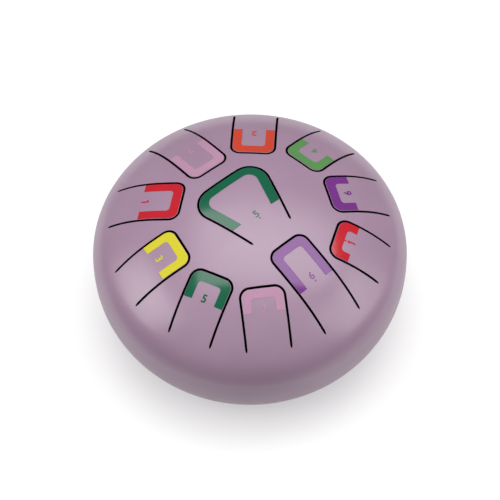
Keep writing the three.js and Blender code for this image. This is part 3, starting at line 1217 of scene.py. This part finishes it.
@dataclass
class Feet:
    """Four push-in rubber feet: a rounded head, a stem through the base and a barb above it."""

    form: BodyForm
    rubber: bpy.types.Material
    head_radius: float = 6 * MM
    stem_radius: float = 2.2 * MM
    barb_radius: float = 3.5 * MM
    barb_tip_radius: float = 1.6 * MM
    barb_gap: float = 0.3 * MM
    barb_height: float = 2.2 * MM
    rounding: float = 1.0 * MM
    rounding_steps: int = 5
    small_rounding: float = 0.25 * MM
    small_rounding_steps: int = 2
    segments: int = 48
    snap: float = 0.001 * MM
    edge_reach: float = 0.01 * MM
    sharp_angle: float = math.radians(40)

    def build(self) -> None:
        """Builds the four feet."""
        for name, (x, y) in zip(FOOT_NAMES, foot_places()):
            self._foot(name, Vector((x, y, 0)))

    def _foot(self, name: str, place: Vector) -> None:
        """Makes one foot, spun from its profile.

        Args:
            name: the node that it dresses.
            place: where it stands.
        """
        top = self.form.base
        barb = top + self.form.sheet + self.barb_gap
        profile = [(0, 0), (self.head_radius, 0), (self.head_radius, top), (self.stem_radius, top),
                   (self.stem_radius, barb), (self.barb_radius, barb),
                   (self.barb_tip_radius, barb + self.barb_height), (0, barb + self.barb_height)]
        mesh = bmesh.new()
        verts = [mesh.verts.new((radius, 0, height)) for radius, height in profile]
        edges = [mesh.edges.new(pair) for pair in zip(verts, verts[1:])]
        bmesh.ops.spin(mesh, geom=[*verts, *edges], cent=(0, 0, 0), axis=(0, 0, 1), dvec=(0, 0, 0),
                       angle=2 * math.pi, steps=self.segments, use_merge=True)
        bmesh.ops.remove_doubles(mesh, verts=mesh.verts[:], dist=self.snap)
        bmesh.ops.recalc_face_normals(mesh, faces=mesh.faces[:])
        self._round(mesh, self.head_radius, 0, self.rounding, self.rounding_steps)
        self._round(mesh, self.head_radius, top, self.small_rounding, self.small_rounding_steps)
        self._round(mesh, self.barb_radius, barb, self.small_rounding, self.small_rounding_steps)
        bmesh.ops.translate(mesh, verts=mesh.verts[:], vec=place)
        data = bpy.data.meshes.new(f"{name}_rubber")
        mesh.to_mesh(data)
        mesh.free()
        data.shade_smooth()
        data.set_sharp_from_angle(angle=self.sharp_angle)
        piece = show(f"{name}_rubber", data, self.rubber)
        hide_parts(name)
        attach(piece, "body")
        log.info("%s: %d faces", name, len(data.polygons))

    def _round(self, mesh: bmesh.types.BMesh, radius: float, height: float, rounding: float,
               segments: int) -> None:
        """Bevels the round edge at one radius and height.

        Args:
            mesh: the foot's mesh.
            radius: the edge's distance from the foot's axis.
            height: the edge's height.
            rounding: the bevel's width.
            segments: how many bands of faces it has.
        """
        def near(vert: bmesh.types.BMVert) -> bool:
            """Whether the point lies on that edge."""
            return max(abs(vert.co.xy.length - radius), abs(vert.co.z - height)) < self.edge_reach
        edges = [edge for edge in mesh.edges if near(edge.verts[0]) and near(edge.verts[1])]
        bmesh.ops.bevel(mesh, geom=edges, offset=rounding, offset_type="OFFSET", affect="EDGES",
                        segments=segments, profile=0.5, material=-1, clamp_overlap=True)


@dataclass(frozen=True)
class Softbox:
    """A panel that lights the drum softly."""

    place: tuple[float, float, float]
    size: tuple[float, float]
    radiance: float

    def light(self, name: str, target: Vector) -> None:
        """Adds the panel as a lamp.

        Args:
            name: the lamp's name.
            target: the point that it faces.
        """
        data = bpy.data.lights.new(name, "AREA")
        data.shape = "RECTANGLE"
        data.size, data.size_y = self.size
        data.energy = self.radiance * math.pi * data.size * data.size_y
        panel = bpy.data.objects.new(name, data)
        panel.location = self.place
        panel.rotation_euler = (target - panel.location).to_track_quat("-Z", "Y").to_euler()
        bpy.context.scene.collection.objects.link(panel)


@dataclass(frozen=True)
class RoomGlow:
    """A broad glow of the room's light round one direction, full within one angle and gone at another."""

    toward: tuple[float, float, float]
    full_angle: float
    end_angle: float
    radiance: float

    def light(self, tree: Shader, way: Wire) -> Wire:
        """The glow's light in a direction.

        Args:
            tree: the room's shader.
            way: the direction.

        Returns:
            The radiance.
        """
        toward = Vector(self.toward).normalized()
        facing = tree.node("ShaderNodeVectorMath", {"operation": "DOT_PRODUCT"},
                           {0: way, 1: toward}, "Value")
        return self.radiance * tree.ramp(facing, math.cos(self.end_angle), math.cos(self.full_angle))


@dataclass
class Studio:
    """A pale floor, soft lamps overhead and at both sides, the room's own light and the camera.

    The floor is pale in a pool round the drum and darker beyond, where it glows to the eye instead. So it
    looks white all over, and the drum's shoulder mirrors little beyond the pool.
    """

    focus: Vector
    distance: float = 1.32
    elevation: float = math.radians(57.4)
    roll: float = math.radians(-1.0)
    lens: float = 192.0
    sensor: float = 36.0
    shift: tuple[float, float] = (0.0001, 0.0075)
    clip: tuple[float, float] = (0.05, 20.0)
    floor_radius: float = 3.0
    floor_segments: int = 64
    floor_drop: float = 0.05 * MM
    floor_level: float = 0.56
    far_level: float = 0.12
    pool_centre: tuple[float, float, float] = (0.02, 0.165, 0.0)
    pool_edge: tuple[float, float] = (0.245, 0.325)
    pool_glow: float = 0.38
    # Where the floor turns black under the drum: a painted shadow there, seen through the sound hole.
    under_edge: tuple[float, float] = (0.03, 0.044)
    # Rings in which the floor's glow to the eye rises away from the drum; being weaker close to it, the
    # glow paints shade round the drum, a painted shadow fall-off.
    floor_glow: tuple[tuple[float, float, float], ...] = (
        (0.036, 0.056, 0.34), (0.052, 0.092, 0.26))
    mirrored_glow: float = 0.26
    overhead: Softbox = Softbox((0.168, 0.35, 1.2), (1.25, 0.83), 1.7)
    left: Softbox = Softbox((-1.02, -0.143, 0.618), (0.86, 0.78), 2.0)
    right: Softbox = Softbox((0.955, -0.256, 0.474), (0.78, 0.88), 1.22)
    fill: RoomGlow = RoomGlow((0.15, -0.5, 0.8), math.radians(15), math.radians(75), 0.36)
    room_level: float = 0.3
    room_gloss: float = 0.1
    backdrop_level: float = 0.1
    backdrop_top: float = 0.3
    backdrop_foot: float = 0.05

    def build(self) -> None:
        """Sets the stage."""
        self._camera()
        self.overhead.light("overhead", Vector((*self.overhead.place[:2], 0)))
        self.left.light("left", self.focus)
        self.right.light("right", self.focus)
        self._floor()
        self._room()
        bpy.context.scene.view_settings.view_transform = "Standard"

    def _camera(self) -> None:
        """The camera, which looks along +Y and down at the drum."""
        data = bpy.data.cameras.new("camera")
        data.lens, data.sensor_width = self.lens, self.sensor
        data.shift_x, data.shift_y = self.shift
        data.clip_start, data.clip_end = self.clip
        camera = bpy.data.objects.new("camera", data)
        back = Vector((0, -math.cos(self.elevation), math.sin(self.elevation)))
        camera.location = self.focus + back * self.distance
        tip, turn = Quaternion((1, 0, 0), QUARTER - self.elevation), Quaternion((0, 0, 1), self.roll)
        camera.rotation_euler = (tip @ turn).to_euler()
        bpy.context.scene.collection.objects.link(camera)
        bpy.context.scene.camera = camera

    def _floor(self) -> None:
        """The floor: it keeps the drum's shadow, is black under the drum as a painted shadow, glows to the
        eye less near the drum, which paints shade round it, and is clear from below.
        """
        mesh = bmesh.new()
        bmesh.ops.create_circle(mesh, cap_ends=True, radius=self.floor_radius, segments=self.floor_segments)
        bmesh.ops.translate(mesh, verts=mesh.verts[:], vec=(0, 0, -self.floor_drop))
        data = bpy.data.meshes.new("floor")
        mesh.to_mesh(data)
        mesh.free()
        material, tree = new_material("pale_floor")
        far = tree.ramp(tree.distance(self.pool_centre), *self.pool_edge)
        reach = tree.distance((0.0, 0.0, 0.0))
        pool = self.floor_level + (self.far_level - self.floor_level) * far
        # The floor's level falls to black under the drum: painted shadow beneath it.
        level = pool * tree.ramp(reach, *self.under_edge)
        matt = tree.node("ShaderNodeBsdfDiffuse", None, {"Color": level})
        glow = self.pool_glow * far
        # The glow grows in rings away from the drum, leaving painted shade close round it.
        for start, end, share in self.floor_glow:
            glow = glow + tree.ramp(reach, start, end) * share
        mirror = self._rays(tree, "Is Glossy Ray", "Is Transmission Ray")
        seen = self._rays(tree, "Is Camera Ray") * glow + mirror * (1.0 - far) * self.mirrored_glow
        emission = tree.node("ShaderNodeEmission", None, {"Color": seen, "Strength": 1.0})
        top = tree.node("ShaderNodeAddShader", None, {0: matt, 1: emission})
        below = tree.node("ShaderNodeNewGeometry", output="Backfacing")
        clear = tree.node("ShaderNodeBsdfTransparent")
        surface = tree.node("ShaderNodeMixShader", None, {0: below, 1: top, 2: clear})
        tree.output("ShaderNodeOutputMaterial", surface)
        show("floor", data, material)

    @staticmethod
    def _rays(tree: Shader, *kinds: str) -> Wire:
        """Tells rays of certain kinds from others.

        Args:
            tree: the shader.
            kinds: names of Light Path's outputs.

        Returns:
            1 for such a ray, 0 for any other.
        """
        path = tree.node("ShaderNodeLightPath", None, None, kinds[0])
        chosen = path
        for kind in kinds[1:]:
            chosen = chosen.most(Wire(tree, path.socket.node.outputs[kind]))
        return chosen

    def _room(self) -> None:
        """The room: white to the eye, dim with a paler foot in reflections, and a soft fill to the rest."""
        world = bpy.data.worlds.new("studio")
        world.use_nodes = True
        tree = Shader(world.node_tree)
        eye = self._rays(tree, "Is Camera Ray")
        mirror = self._rays(tree, "Is Glossy Ray", "Is Transmission Ray")
        way = tree.node("ShaderNodeTexCoord", None, None, "Generated")
        height = tree.node("ShaderNodeSeparateXYZ", None, {0: way}, "Z")
        backdrop = 1.0 - tree.ramp(height, self.backdrop_foot, self.backdrop_top)
        mirrored = self.room_gloss + self.backdrop_level * backdrop
        soft = self.room_level + self.fill.light(tree, way)
        colour = eye + (1.0 - eye) * (mirror * mirrored + (1.0 - mirror) * soft)
        background = tree.node("ShaderNodeBackground", None, {"Color": colour, "Strength": 1.0})
        tree.output("ShaderNodeOutputWorld", background)
        bpy.context.scene.world = world


def main() -> None:
    """Builds the drum and its stage."""
    logging.basicConfig(level=logging.INFO, format="%(name)s %(message)s")
    top_low, top_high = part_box("top_shell")
    base_low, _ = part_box("bottom_shell")
    form = BodyForm(radius=top_high.x, seam=top_low.z, base=base_low.z)
    layout = TongueLayout()
    tongues = layout.tongues()
    lacquer = Lacquer().material()
    films = {vinyl: VinylFilm(vinyl).material() for vinyl in Vinyl}
    Shells(form, tongues, layout.cut, lacquer).build()
    VinylTrim(form, tongues, layout.cut, films).build()
    Feet(form, MouldedRubber().material()).build()
    Studio(focus=Vector((0, 0, form.seam))).build()


if __name__ == "__main__":
    main()
